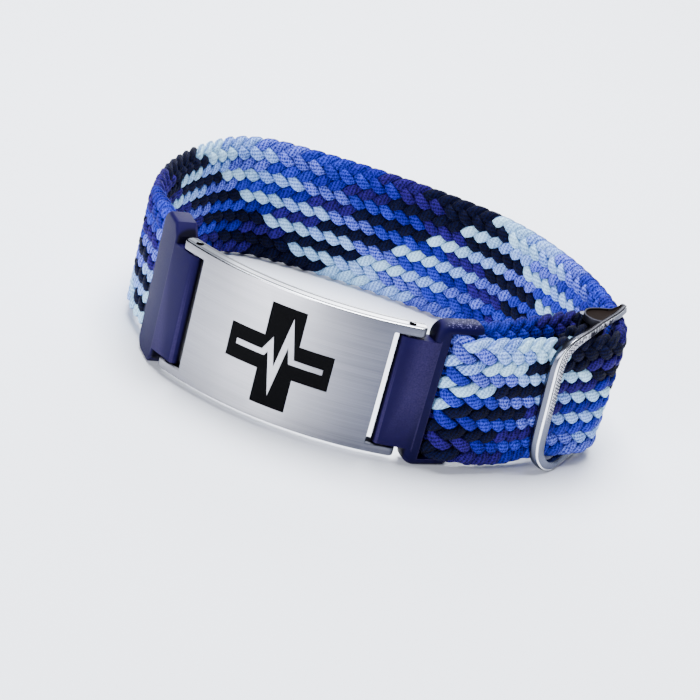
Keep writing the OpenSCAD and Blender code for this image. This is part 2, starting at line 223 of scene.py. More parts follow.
# Sizes in millimetres, the same as the solids'
LEFT, RIGHT = -1, 1
PLATE_R, PLATE_LEN, PLATE_H, PLATE_T = 48.0, 37.0, 22.0, 2.4
NOTCH_DEPTH, LUG_H, LUG_REACH = 2.35, 1.5, 2.3
CROSS_SPAN, CROSS_ARM, PULSE_W, RECESS = 17.0, 5.75, 0.9, 0.4
BAR_D, PIN_D = 1.3, 0.8
TONGUE_LEN, TONGUE_T = 3.3, 2.4
TONGUE_LEAN, FRAME_BEND = {LEFT: 35.0, RIGHT: 27.0}, 15.0
FRAME_LEN = {LEFT: 7.2, RIGHT: 8.2}
FRAME_H, FRAME_T, FRAME_CORNER, FRAME_RIM = 24.4, 3.6, 2.3, 1.35
INNER_POST, POST_R, POCKET = 2.4, 1.1, 3.5
FIT, EDGE_GAP = 0.15, 0.3
SLOT_W = FRAME_H - 2 * FRAME_RIM - 2 * FIT
STRAP_W, END_W = SLOT_W + 1.1, SLOT_W - 1
STRAP_T, END_T, PRESS_LEN = 2.8, 2.2, 4.0
LOOP_R, EASE_R, FOLD_LEN, PLY_GAP = 30.0, 25.0, 6.0, 1.0
BUCKLE_REACH, BUCKLE_LEAN = 10.2, 0.07
FRONT_W, FRONT_T, INNER_T, INNER_BAR = 2.7, 1.3, 1.2, 1.6
SIDE_T, SIDE_LEN = 1.1, 10.0
NOTCH_H = PLATE_H - 2 * LUG_H
TONGUE_H = NOTCH_H - 4 * FIT


# Plan of the bracelet. A heading is an angle in degrees, and the strap travels anticlockwise
# from the right link. along() points along a heading, and outward() out of the loop beside it.
def along(h):
    h = np.radians(h)
    return np.array([np.cos(h), np.sin(h)]).T


def outward(h):
    h = np.radians(h)
    return np.array([np.sin(h), -np.cos(h)]).T


def on_plate(distance, depth, height):
    """A place on the plate: distance along its outer face, depth below it, height."""
    angle, radius = distance / PLATE_R, PLATE_R - depth
    return radius * math.sin(angle), PLATE_R - radius * math.cos(angle), height


def bar_place(side):
    """Middle of a spring bar, in plan."""
    return np.array(on_plate(side * PLATE_LEN / 2, PLATE_T / 2, 0)[:2])


def link_way(side, lean):
    """Direction away from the plate for a lean from the plate's chord."""
    return np.array([side * math.cos(math.radians(lean)), math.sin(math.radians(lean))])


def frame_root(side):
    """Where a link's tongue meets its frame, in plan."""
    return bar_place(side) + TONGUE_LEN * link_way(side, TONGUE_LEAN[side])


# Where the strap turns on the right link's post, and where it goes into the left link
TURN_R = POST_R + FIT + STRAP_T / 2
POST_AT = INNER_POST + STRAP_T / 2 + FIT + TURN_R
LEAN_LEFT, LEAN_RIGHT = TONGUE_LEAN[LEFT] + FRAME_BEND, TONGUE_LEAN[RIGHT] + FRAME_BEND
END_HEADING = 360 - LEAN_LEFT
POST = frame_root(RIGHT) + POST_AT * link_way(RIGHT, LEAN_RIGHT)
MOUTH = frame_root(LEFT) + FRAME_LEN[LEFT] * link_way(LEFT, LEAN_LEFT)
END_INSIDE = POCKET - FIT

# Bends of the outer layer: radius as a share of the loop's, turn as a share of the whole turn.
# The second is the corner over the buckle, as tight as the fold inside it lets it be.
WHOLE_TURN = END_HEADING - LEAN_RIGHT
FOLD_R = INNER_T / 2 + FIT + STRAP_T / 2
CORNER_R = FOLD_R + STRAP_T + PLY_GAP
BENDS = [(r * LOOP_R, turn * WHOLE_TURN) for r, turn in (
    (2.6, 0.037), (CORNER_R / LOOP_R, 0.217), (1.66, 0.134), (0.97, 0.106), (3.5, 0.074),
    (0.39, 0.219), (1.59, 0.138), (0.27, 0.075))]
STRAIGHT = 0


def step(heading, row):
    """Move in plan along one row, (radius, turn) or (STRAIGHT, length)."""
    radius, amount = row
    if radius == STRAIGHT:
        return amount * along(heading)
    return abs(radius) * np.sign(amount) * (outward(heading + amount) - outward(heading))


def strap_rows():
    """Where the strap's middle starts and its heading there, the rows of the folded inner
    layer and of the outer one, the centre of the corner, and the heading before it."""
    place, heading = POST + TURN_R * outward(LEAN_RIGHT), LEAN_RIGHT
    outer_start, run_heading = place, LEAN_RIGHT + BENDS[0][1]
    for row in BENDS:
        place, heading = place + step(heading, row), heading + row[1]
    # Two straights close the loop
    left_over, run_dir, end_dir = MOUTH - place, along(run_heading), along(END_HEADING)
    area = run_dir[0] * end_dir[1] - run_dir[1] * end_dir[0]
    run = (left_over[0] * end_dir[1] - left_over[1] * end_dir[0]) / area
    end = (run_dir[0] * left_over[1] - run_dir[1] * left_over[0]) / area
    outer = [BENDS[0], (STRAIGHT, run)] + BENDS[1:] + [(STRAIGHT, end + END_INSIDE)]
    corner = (outer_start + step(LEAN_RIGHT, BENDS[0]) + run * run_dir
              - CORNER_R * outward(run_heading))
    # Inner layer: a gentle bend beside the post, a tangent to the fold, the fold, the loose end
    inner_start = POST - TURN_R * outward(LEAN_RIGHT)
    ease_centre = inner_start - EASE_R * outward(LEAN_RIGHT)
    to_fold = corner - FOLD_R * outward(run_heading) - ease_centre
    tangent = math.sqrt(to_fold @ to_fold - EASE_R ** 2)
    inner_heading = math.degrees(math.atan2(to_fold[1], to_fold[0]) + math.atan(EASE_R / tangent))
    turn = inner_heading - LEAN_RIGHT
    ease_end = inner_start + step(LEAN_RIGHT, (EASE_R, turn))
    inner_len = np.linalg.norm(corner - FOLD_R * outward(inner_heading) - ease_end)
    loose = corner + FOLD_R * outward(inner_heading) - FOLD_LEN * along(inner_heading)
    inner = [(STRAIGHT, FOLD_LEN), (FOLD_R, 180), (STRAIGHT, inner_len), (-EASE_R, -turn),
             (TURN_R, 180)]
    return loose, inner_heading, inner, outer, corner, run_heading


LOOSE, INNER_HEADING, INNER_ROWS, OUTER_ROWS, CORNER, RUN_HEADING = strap_rows()


def row_length(row):
    return row[1] if row[0] == STRAIGHT else abs(row[0] * math.radians(row[1]))


INNER_LEN = sum(map(row_length, INNER_ROWS))
OUTER_LEN = sum(map(row_length, OUTER_ROWS))


def strap_line(s):
    """Plan places and headings of the strap's middle at distances s from the right post.
    s is negative on the folded inner layer."""
    place, heading, start = LOOSE, INNER_HEADING, -INNER_LEN
    places, headings = np.zeros((len(s), 2)), np.zeros(len(s))
    for row in INNER_ROWS + OUTER_ROWS:
        length = row_length(row)
        here = s >= start
        part = np.clip((s[here] - start) / length, 0, 1)[:, None]
        if row[0] == STRAIGHT:
            places[here] = place + part * row[1] * along(heading)
            headings[here] = heading
        else:
            turned = heading + part[:, 0] * row[1]
            places[here] = (place + abs(row[0]) * np.sign(row[1])
                            * (outward(turned) - outward(heading)))
            headings[here] = turned
        place = place + step(heading, row)
        heading, start = heading + (0 if row[0] == STRAIGHT else row[1]), start + length
    return places, headings


def eased(t):
    t = np.clip(t, 0, 1)
    return t * t * (3 - 2 * t)


# Share of the outer layer's length, and share of the spread to the free width there
SPREAD = [(0, 0), (0.035, 0.8), (0.06, 0.8), (0.085, 0), (0.205, 0), (0.38, 1), (0.68, 1),
          (0.92, 0), (2, 0)]
# Share of its sag at its front, and the share of its length that is the front
FRONT_SAG, FRONT_SHARE = 0.4, 1 / 8


def strap_size(s):
    """Width, thickness and height of the middle of the strap at distances s."""
    share, spread = s / OUTER_LEN, np.zeros(len(s))
    for (a, low), (b, high) in zip(SPREAD, SPREAD[1:]):
        here = (share >= a) & (share < b)
        spread[here] = low + (high - low) * eased((share[here] - a) / (b - a))
    pressed = eased((s - (OUTER_LEN - END_INSIDE - PRESS_LEN)) / PRESS_LEN)
    width = SLOT_W + (STRAP_W - SLOT_W) * spread
    width = width + (END_W - width) * pressed
    thick = STRAP_T + (END_T - STRAP_T) * pressed
    sag = -(FRAME_H - STRAP_W) / 2 * spread * np.where(share < FRONT_SHARE, FRONT_SAG, 1)
    return width, thick, sag


# Braid: each cord climbs from row to row towards the upper edge and then back down to the
# lower one, over two cords and under two.
CORDS, ROWS = 22, 11
CORD_W, CORD_H = 1.9, 1.16
# Width of a cord at its crossings and the more that it has between them, as shares
CORD_THIN, CORD_FULL = 0.84, 0.26
# From the strap's edge to the outermost row
EDGE = 0.35
CORD_SIDES, CORD_STEP = 8, 0.4
# Squareness of a cord's section: 1 is round, and less is flatter
CORD_SQUARE = 0.8
# Distance from the right post, and rows climbed for each millimetre there: the braid is drawn
# out beside the link, packed beside the buckle and even round the back
PACKING = [(-50, 0.37), (-6, 0.36), (0, 0.27), (2.5, 0.30), (5, 0.40), (8, 0.45), (15, 0.46),
           (18, 0.36), (27, 0.33), (33, 0.375), (58, 0.375), (63, 0.41), (72, 0.40),
           (85, 0.355), (115, 0.355), (140, 0.37), (175, 0.37)]
ROW_AT_POST = 5.75
# Over-and-under wave of a cord: its place between two rows, how full its crests are, and how
# many rows from the edge it comes to its full height
WAVE_AT, WAVE_FULL, WAVE_FROM = 0.75, 0.25, 0.6
# Colours of the dyed cords in the order in which they lie: last cord of the run, and its colour
DYES = [(2, (0.27, 0.53, 0.96)), (5, (0.18, 0.32, 0.95)), (8, (0.075, 0.095, 0.54)),
        (11, (0.015, 0.020, 0.32)), (13, (0.007, 0.007, 0.18)), (16, (0.012, 0.004, 0.090)),
        (21, (0.0010, 0.0015, 0.0120))]
# How much the dye varies along a cord, the millimetres to a radian of that wave, and how much
# it varies from cord to cord
DYE_WAVE, DYE_WAVE_LEN, DYE_ODDS, DYE_SEED = 0.16, (5, 9), 0.1, 5


def rows_climbed(s):
    """Rows that a cord has climbed at distances s, which are even steps from the loose end."""
    rate = np.interp(s, *zip(*PACKING))
    climbed = np.concatenate([[0], np.cumsum((rate[1:] + rate[:-1]) / 2 * np.diff(s))])
    return climbed + ROW_AT_POST - np.interp(0, s, climbed)


def cord_line(cord, s):
    """Middle line of one cord in millimetres, the strap's outward normal beside it, and how
    thick and how wide the cord is there, as shares."""
    width, thick, sag = strap_size(s)
    places, headings = strap_line(s)
    phase = (rows_climbed(s) + cord) % (2 * ROWS)
    rising = phase < ROWS
    row = np.where(rising, phase, 2 * ROWS - phase)
    from_edge = np.minimum(row, ROWS - row)
    # The turn at each edge is round
    rounded = np.where(from_edge < 0.5, from_edge ** 2 + 0.25, from_edge)
    row_out = np.where(row < ROWS / 2, rounded, ROWS - rounded)
    up = -width / 2 + EDGE + row_out / ROWS * (width - 2 * EDGE) + sag
    wave = np.cos(math.pi * (row - WAVE_AT))
    over = (wave * (1 + WAVE_FULL - WAVE_FULL * wave ** 2) * eased(from_edge / WAVE_FROM)
            * (thick - CORD_H) / 2)
    over = np.where(rising, over, -over)
    normal = outward(headings)
    line = np.column_stack([places + over[:, None] * normal, up])
    # A cord is full where it lies over or under and narrow where it dives
    return (line, np.column_stack([normal, np.zeros(len(s))]), thick / STRAP_T,
            CORD_THIN + CORD_FULL * wave ** 2)


def unit(vectors):
    return vectors / np.linalg.norm(vectors, axis=-1, keepdims=True)


def travelled(line):
    """Distance along a line at each of its points."""
    return np.concatenate([[0], np.cumsum(np.linalg.norm(np.diff(line, axis=0), axis=1))])


def squared(wave):
    return np.sign(wave) * abs(wave) ** CORD_SQUARE


def new_piece(name, points, faces):
    mesh = bpy.data.meshes.new(name)
    mesh.from_pydata(points, [], faces)
    piece = bpy.data.objects.new(name, mesh)
    bpy.context.scene.collection.objects.link(piece)
    return piece


def braided_strap():
    """All the cords of the braid as one mesh, each cord a tube with closed ends."""
    count = int((INNER_LEN + OUTER_LEN) / CORD_STEP)
    s = np.linspace(-INNER_LEN, OUTER_LEN, count)
    turn = np.arange(CORD_SIDES) / CORD_SIDES * 2 * math.pi
    across, through_it = squared(np.cos(turn)), squared(np.sin(turn))
    # Faces of one cord: the ring and the side of each of their corners, and then its ends
    ring, side = np.meshgrid(np.arange(count - 1), np.arange(CORD_SIDES), indexing="ij")
    face_rings = np.stack([ring, ring + 1, ring + 1, ring], -1).reshape(-1, 4)
    face_sides = np.stack([side, side, side + 1, side + 1], -1).reshape(-1, 4)
    quads = face_rings * CORD_SIDES + face_sides % CORD_SIDES
    end = np.arange(CORD_SIDES)
    corner_rings = np.concatenate([face_rings.ravel(), 0 * end, 0 * end + count - 1])
    corner_sides = np.concatenate([face_sides.ravel(), end, end[::-1]]) / CORD_SIDES
    rng = np.random.default_rng(DYE_SEED)
    points, faces, dyes, stitches = [], [], [], []
    for cord in range(CORDS):
        line, normal, scale, full = cord_line(cord, s)
        ahead = unit(np.gradient(line, axis=0))
        beside = unit(np.cross(ahead, normal))
        out = np.cross(beside, ahead)
        half_w, half_h = (CORD_W / 2 * full)[:, None, None], (CORD_H / 2 * scale)[:, None, None]
        tube = (line[:, None] + across[None, :, None] * beside[:, None] * half_w
                + through_it[None, :, None] * out[:, None] * half_h)
        points.append(tube.reshape(-1, 3))
        first = cord * count * CORD_SIDES
        faces += (quads + first).tolist()
        faces += [(first + end).tolist(), (first + end[::-1] + (count - 1) * CORD_SIDES).tolist()]
        dye = np.array(next(colour for last, colour in DYES if cord <= last))
        shade = (1 + DYE_WAVE * np.sin(s / rng.uniform(*DYE_WAVE_LEN) + rng.uniform(0, 6))
                 + rng.uniform(-DYE_ODDS, DYE_ODDS))
        dyes.append(np.repeat(np.clip(dye * shade[:, None], 0, 1), CORD_SIDES, axis=0))
        # Along a cord in millimetres, and round it
        stitches.append(np.column_stack([travelled(line)[corner_rings], corner_sides]))
    piece = new_piece("braided_strap", placed(np.vstack(points)).tolist(), faces)
    dyes = np.vstack(dyes)
    dye = piece.data.color_attributes.new("dye", "FLOAT_COLOR", "POINT")
    dye.data.foreach_set("color", np.column_stack([dyes, np.ones(len(dyes))]).ravel())
    stitch = piece.data.uv_layers.new(name="stitch")
    stitch.data.foreach_set("uv", np.vstack(stitches).ravel())
    alone(piece)
    bpy.ops.object.shade_smooth()
    return piece


# Modelling. Pieces are shaped in millimetres and settle() puts them in the frame.
def alone(piece):
    bpy.ops.object.select_all(action="DESELECT")
    piece.select_set(True)
    bpy.context.view_layer.objects.active = piece


def applied(name):
    """The new primitive, with its place and size in its mesh."""
    piece = bpy.context.object
    piece.name = name
    bpy.ops.object.transform_apply()
    return piece


def block(name, low, high):
    bpy.ops.object.select_all(action="DESELECT")
    low, high = Vector(low), Vector(high)
    bpy.ops.mesh.primitive_cube_add(size=1, location=(low + high) / 2, scale=high - low)
    return applied(name)


def rod(name, radius, low, high, at=(0, 0), sides=48):
    bpy.ops.object.select_all(action="DESELECT")
    bpy.ops.mesh.primitive_cylinder_add(vertices=sides, radius=radius, depth=high - low,
                                        location=(at[0], at[1], (low + high) / 2))
    return applied(name)


def outline_block(name, outline, low, high):
    """An outline in plan, drawn up from low to high."""
    piece = new_piece(name, [(x, y, low) for x, y in outline], [list(range(len(outline)))])
    with editing(piece):
        bpy.ops.mesh.select_all(action="SELECT")
        bpy.ops.mesh.extrude_region_move(TRANSFORM_OT_translate={"value": (0, 0, high - low)})
    outward_faces(piece)
    return piece


@contextmanager
def editing(piece):
    """Edit mode on this piece alone."""
    alone(piece)
    bpy.ops.object.mode_set(mode="EDIT")
    yield
    bpy.ops.object.mode_set(mode="OBJECT")


def outward_faces(piece):
    with editing(piece):
        bpy.ops.mesh.select_all(action="SELECT")
        bpy.ops.mesh.remove_doubles(threshold=0.0005)
        bpy.ops.mesh.normals_make_consistent(inside=False)


def round_edges(piece, test, width, segments):
    """Rounds the edges whose two ends both pass the test."""
    with editing(piece):
        bpy.ops.mesh.select_mode(type="EDGE")
        bpy.ops.mesh.select_all(action="DESELECT")
    spots = piece.data.vertices
    for edge in piece.data.edges:
        edge.select = test(spots[edge.vertices[0]].co, spots[edge.vertices[1]].co)
    with editing(piece):
        bpy.ops.mesh.bevel(offset=width, segments=segments, affect="EDGES")


def apply_all(piece):
    alone(piece)
    for modifier in list(piece.modifiers):
        bpy.ops.object.modifier_apply(modifier=modifier.name)


def joined(piece, tool, operation="DIFFERENCE"):
    """Cuts or joins the tool, which is then gone."""
    cut = piece.modifiers.new(operation.lower(), "BOOLEAN")
    cut.operation, cut.object, cut.solver = operation, tool, "EXACT"
    apply_all(piece)
    bpy.data.objects.remove(tool, do_unlink=True)
    return piece


def soften(piece, width, segments=3, angle=40):
    """Rounds every sharp edge."""
    bevel = piece.modifiers.new("soften", "BEVEL")
    bevel.width, bevel.segments = width, segments
    bevel.limit_method, bevel.angle_limit = "ANGLE", math.radians(angle)
    bevel.use_clamp_overlap = True
    apply_all(piece)


def slice_across(piece, places):
    """Adds rows of edges along X where the piece is then bent."""
    with editing(piece):
        for place in places:
            bpy.ops.mesh.select_all(action="SELECT")
            bpy.ops.mesh.bisect(plane_co=(place, 0, 0), plane_no=(1, 0, 0))


def smooth(piece, angle=32):
    alone(piece)
    bpy.ops.object.shade_smooth_by_angle(angle=math.radians(angle))


# How far a cutting tool reaches past what it cuts
PAST = 1


def in_plan(piece, side, spot, lean):
    """Turns a piece drawn along X to its lean from the plate's chord, at a place in plan."""
    turn = math.radians(lean if side == RIGHT else 180 - lean)
    piece.data.transform(Matrix.Translation((spot[0], spot[1], 0))
                         @ Matrix.Rotation(turn, 4, "Z"))
    return piece


def settle(piece, finish, node):
    """Puts a piece in the frame in place of the solid that it dresses."""
    piece.data.transform(Matrix.Scale(MM, 4)
                         @ Matrix.Translation((-MIDDLE[0], -MIDDLE[1], MID_Z)))
    dress(piece, finish, node)


def dress(piece, finish, node):
    piece.data.materials.clear()
    piece.data.materials.append(finish.material)
    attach(piece, "root")
    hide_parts(node)


# Medical plate: rounding of its corners and edges, and the rows of edges that it bends at
PLATE_CORNER, PLATE_EDGE = 0.95, 0.22
BEND_ROWS = np.arange(-20.5, 20.6, 1.0)
# Pulse line across the cross, in shares of half its span
PULSE = [(-0.84, 0), (-0.3, 0), (-0.19, 0.2), (-0.04, -0.5), (0.13, 0.54), (0.25, 0), (0.84, 0)]


def cross_block(name, low, high):
    """The cross with the pulse line left out of it, from one depth to another."""
    half, arm = CROSS_SPAN / 2, CROSS_ARM / 2
    cross = block(name, (-half, low, -arm), (half, high, arm))
    joined(cross, block("upright", (-arm, low, -half), (arm, high, half)), "UNION")
    return joined(cross, pulse_block(low - PAST, high + PAST))


def pulse_block(low, high):
    line = np.array(PULSE) * CROSS_SPAN / 2
    ways = unit(np.diff(line, axis=0))
    sides = np.column_stack([-ways[:, 1], ways[:, 0]])
    middle = (sides[:-1] + sides[1:]) / (1 + np.sum(sides[:-1] * sides[1:], axis=1))[:, None]
    mitres = PULSE_W / 2 * np.vstack([sides[:1], middle, sides[-1:]])
    piece = outline_block("pulse", np.vstack([line + mitres, (line - mitres)[::-1]]).tolist(),
                          low, high)
    # Drawn up in plan, then stood on its edge with its height along the depth of the plate
    piece.data.transform(Matrix(((1, 0, 0, 0), (0, 0, 1, 0), (0, 1, 0, 0), (0, 0, 0, 1))))
    outward_faces(piece)
    return piece


def medical_plate():
    """A flat bar with lugs and a recess, bent to the curve of the wrist at the end."""
    # Lengths that are held at half the plate's thickness grow on its outer face
    scale = PLATE_R / (PLATE_R - PLATE_T / 2)
    pin = PLATE_LEN / 2
    tip, notch = pin + LUG_REACH * scale, pin - NOTCH_DEPTH * scale
    piece = block("medical_plate", (-tip, 0, -PLATE_H / 2), (tip, PLATE_T, PLATE_H / 2))
    round_edges(piece, lambda a, b: abs(a.z - b.z) > PLATE_H / 2, PLATE_CORNER, 6)
    for side in (LEFT, RIGHT):
        ends = sorted((side * notch, side * (tip + PAST)))
        joined(piece, block("notch", (ends[0], -PAST, -NOTCH_H / 2),
                            (ends[1], PLATE_T + PAST, NOTCH_H / 2)))
        joined(piece, rod("pin_hole", PIN_D / 2 + FIT / 2, -PLATE_H, PLATE_H,
                          (side * pin, PLATE_T / 2), 24))
    soften(piece, PLATE_EDGE)
    joined(piece, cross_block("recess", -PAST, RECESS))
    slice_across(piece, BEND_ROWS)
    for spot in piece.data.vertices:
        spot.co = on_plate(*spot.co)
    smooth(piece)
    return piece


# Moulded links: rounding of the frame's outer rim and its inner edges, and of the tongue
RIM_ROUND, FRAME_EDGE, TONGUE_EDGE = {LEFT: 0.6, RIGHT: 1.15}, 0.3, 0.25
# Slantwise cut beside the plate's left lugs, and how far a tongue's nose is moved past its bar
SLANT, NOSE = 1.7, {LEFT: 0, RIGHT: 0.35}
# How far the tongue stands over the frame's rim, where it dips into the frame, past the rim
# and below it, and its web at the back
OVER_RIM, DIP_LEN, DIP, WEB, WEB_LEN = 0.01, 0.5, 0.22, 0.92 * TONGUE_T / 2, 0.6
# Corners nearer to a place than this lie at it
NEAR = 0.1


def link(side):
    """Frame with a round outer rim and a tongue on the spring bar. The right one has the slot
    and the post that the strap turns on, the left one the pocket for its fixed end."""
    lean, rim, length = TONGUE_LEAN[side], RIM_ROUND[side], FRAME_LEN[side]
    half_t, half_h = FRAME_T / 2, FRAME_H / 2
    frame = block("right_link" if side == RIGHT else "left_link",
                  (0, -half_t, -half_h), (length, half_t, half_h))
    # Size and segments of the corners on the plate's side and on the strap's
    if side == RIGHT:
        plate_corners, strap_corners = (FRAME_CORNER, 8), (FRAME_RIM, 8)
    else:
        plate_corners, strap_corners = (SLANT, 1), (FRAME_CORNER, 8)
    round_edges(frame, lambda a, b: abs(a.y - b.y) > half_t and a.x < NEAR,
                *plate_corners)
    round_edges(frame, lambda a, b: abs(a.y - b.y) > half_t and a.x > length - NEAR,
                *strap_corners)
    round_edges(frame, lambda a, b: abs(a.y - b.y) < NEAR, rim, 6)
    if side == RIGHT:
        opening = SLOT_W / 2 + FIT
        joined(frame, block("slot", (INNER_POST, -FRAME_T, -opening),
                            (2 * length, FRAME_T, opening)))
    else:
        height, depth = END_W / 2 + FIT, END_T / 2 + FIT
        joined(frame, block("pocket", (length - POCKET, -depth, -height),
                            (2 * length, depth, height)))
    soften(frame, FRAME_EDGE)
    if side == RIGHT:
        reach = SLOT_W / 2 + 2 * FIT
        joined(frame, rod("post", POST_R, -reach, reach, (POST_AT, 0)), "UNION")
    in_plan(frame, side, frame_root(side), lean + FRAME_BEND)
    # The tongue swells on the outside until it is level with the frame's round rim
    bend = math.radians(FRAME_BEND)
    level = TONGUE_LEN + rim * math.cos(bend) + (half_t - rim) * math.sin(bend)
    proud = rim * math.sin(bend) - (half_t - rim) * math.cos(bend) - rim
    outline = [(-NOSE[side], -TONGUE_T / 2), (level, proud - OVER_RIM),
               (level + DIP_LEN, proud + DIP), (level + DIP_LEN, 0),
               (TONGUE_LEN + WEB_LEN, WEB), (-NOSE[side], WEB)]
    if side == LEFT:
        outline = [(x, -y) for x, y in outline]
    tongue = outline_block("tongue", outline, -TONGUE_H / 2, TONGUE_H / 2)
    joined(tongue, rod("barrel", TONGUE_T / 2, -TONGUE_H / 2, TONGUE_H / 2,
                       (-NOSE[side], 0)), "UNION")
    soften(tongue, TONGUE_EDGE)
    joined(tongue, rod("bore", BAR_D / 2 + FIT, -TONGUE_H, TONGUE_H, sides=32))
    in_plan(tongue, side, bar_place(side), lean)
    joined(frame, tongue, "UNION")
    smooth(frame, 50)
    return frame


# Slide buckle, drawn round the corner of the strap, with X along the strap's outer layer and
# the outside of the loop towards -Y
ARM_Z = SLOT_W / 2 + EDGE_GAP + SIDE_T / 2
FRONT_OUT = CORNER_R + STRAP_T / 2 + FIT + FRONT_T / 2
ARM_W = SIDE_T + 2 * (FRAME_H / 2 - ARM_Z - SIDE_T / 2)
# From the middle of the front bar to the tip of its arm: shares of the buckle's reach, of the
# way out to the front bar and of the arm's height, and the width, 1 for the front bar's
ARM = [(-1.00, 1.00, 0.00, 1.0), (-1.00, 1.00, 0.40, 1.0), (-0.99, 1.00, 0.62, 0.9),
       (-0.93, 1.00, 0.80, 0.6), (-0.80, 1.00, 0.93, 0.3), (-0.60, 0.93, 0.99, 0.1),
       (-0.32, 0.75, 0.99, 0.0), (-0.02, 0.54, 0.99, 0.0), (0.28, 0.35, 0.99, 0.0),
       (0.60, 0.14, 0.99, 0.0), (0.87, -0.08, 0.99, 0.0)]
# Section of the bar in shares of half its width and of its thickness: flat back, the wide
# stippled slope, ridge, groove, facet (which the finish paints bright as a highlight) and soft
# slope
SECTION = [(-0.94, -0.5), (-1, -0.44), (-1, 0.06), (-0.97, 0.15), (-0.90, 0.20),
           (-0.06, 0.44), (0.02, 0.46), (0.10, 0.45), (0.18, 0.46), (0.25, 0.49),
           (0.32, 0.50), (0.52, 0.47), (0.60, 0.42), (0.95, 0.14), (1, 0.03), (1, -0.44),
           (0.94, -0.5)]
# Corners of the groove, its depth, and how far from the middle of the bar it fades out
GROOVE, GROOVE_DEEP, GROOVE_FADE = {7, 8}, 0.26, 2
# On the arms the ridge and groove are shifted towards the edge, and the upper arm's outer
# face is turned towards the edge of the strap
ARM_SHIFT, ARM_TURN = 0.25, math.radians(40)
# Outline of a side plate in shares of its length and of the way out to the front bar
SIDE = [(-0.10, 0.17), (-0.04, 0.05), (0.05, -0.04), (0.17, -0.07), (0.34, -0.05),
        (0.54, 0.00), (0.72, -0.07), (0.87, -0.16), (0.90, -0.08), (0.76, 0.08), (0.5, 0.22),
        (0.26, 0.38), (0.06, 0.50), (-0.05, 0.42), (-0.10, 0.30)]
# How far the rim of a side plate stands over its dished face, the rounding of its edges, the
# middle of the dish, and its size at its top and again at its foot
LEAF_RIM, LEAF_EDGE, LEAF_MIDDLE = 0.3, 0.1, (0.22, 0.15)
DISH_TOP, DISH_FOOT = (0.92, 0.86, 1), (0.96, 0.92, 1)
# Marks in the UV map of the dished face and of the rest of the leaf, and how deep the dished
# face lies and how squarely it faces outwards at least
DISH_MARK, LEAF_MARK, DISH_DEEP, DISH_FACING = -5, -3, 0.05, 0.3
# How far the inner bar reaches past the middle of the fold, and its rounding as a share of its
# thickness
INNER_PAST, INNER_ROUND = 0.3, 0.48


def through(points, steps, closed=False):
    """Smooth curve through the points."""
    points = np.asarray(points, float)
    count = len(points)
    curve = []
    for i in range(count if closed else count - 1):
        near = [(i + k) % count if closed else min(max(i + k, 0), count - 1)
                for k in (-1, 0, 1, 2)]
        a, b, c, d = points[near]
        for t in np.arange(steps) / steps:
            curve.append(0.5 * (2 * b + (c - a) * t + (2 * a - 5 * b + 4 * c - d) * t ** 2
                                + (3 * b - a - 3 * c + d) * t ** 3))
    return np.array(curve if closed else curve + [points[-1]])


def front_bar():
    """The bar and both its arms as one sweep, with a UV map of the way round and along it."""
    upper = np.array([(x * BUCKLE_REACH, -y * FRONT_OUT, z * ARM_Z, w) for x, y, z, w in ARM])
    lower = upper[:0:-1] * (1, 1, -1, 1)
    line = np.vstack([lower, upper])
    line[:, 0] -= BUCKLE_LEAN * line[:, 2]
    line = through(line, 8)
    ahead = unit(np.gradient(line[:, :3], axis=0))
    side = unit(np.cross(np.array([0, -1.0, 0]), ahead))
    out = np.cross(ahead, side)
    wide = ARM_W + (FRONT_W - ARM_W) * line[:, 3]
    # The groove runs in the upper half and fades out below the middle
    groove = eased((line[:, 2] + GROOVE_FADE) / (2 * GROOVE_FADE))
    rings = []
    for i, spot in enumerate(line):
        narrow = 1 - min(max(line[i, 3], 0), 1)
        turn = ARM_TURN * narrow if line[i, 2] > 0 else 0
        turned_side = math.cos(turn) * side[i] - math.sin(turn) * out[i]
        turned_out = math.sin(turn) * side[i] + math.cos(turn) * out[i]
        for k, (u, v) in enumerate(SECTION):
            u = u + ARM_SHIFT * narrow * (1 - u * u)
            v = v - (GROOVE_DEEP * groove[i] if k in GROOVE else 0)
            rings.append(spot[:3] + u * wide[i] / 2 * turned_side + v * FRONT_T * turned_out)
    count, sides = len(line), len(SECTION)
    faces = [[i * sides + j, i * sides + (j + 1) % sides,
              (i + 1) * sides + (j + 1) % sides, (i + 1) * sides + j]
             for i in range(count - 1) for j in range(sides)]
    faces += [list(range(sides))[::-1], [(count - 1) * sides + j for j in range(sides)]]
    piece = new_piece("front_bar", np.array(rings).tolist(), faces)
    distance = travelled(line[:, :3])
    distance -= distance[-1] / 2
    mesh = piece.data
    marks = mesh.uv_layers.new(name="bar")
    for polygon in mesh.polygons:
        around = [mesh.loops[k].vertex_index % sides for k in polygon.loop_indices]
        for k, j in zip(polygon.loop_indices, around):
            # The last face of each ring ends at the number of sides, not back at 0
            last = j == 0 and sides - 1 in around and len(around) == 4
            marks.data[k].uv = (sides if last else j,
                                distance[mesh.loops[k].vertex_index // sides])
    with editing(piece):
        bpy.ops.mesh.select_all(action="SELECT")
        bpy.ops.mesh.normals_make_consistent(inside=False)
    return piece


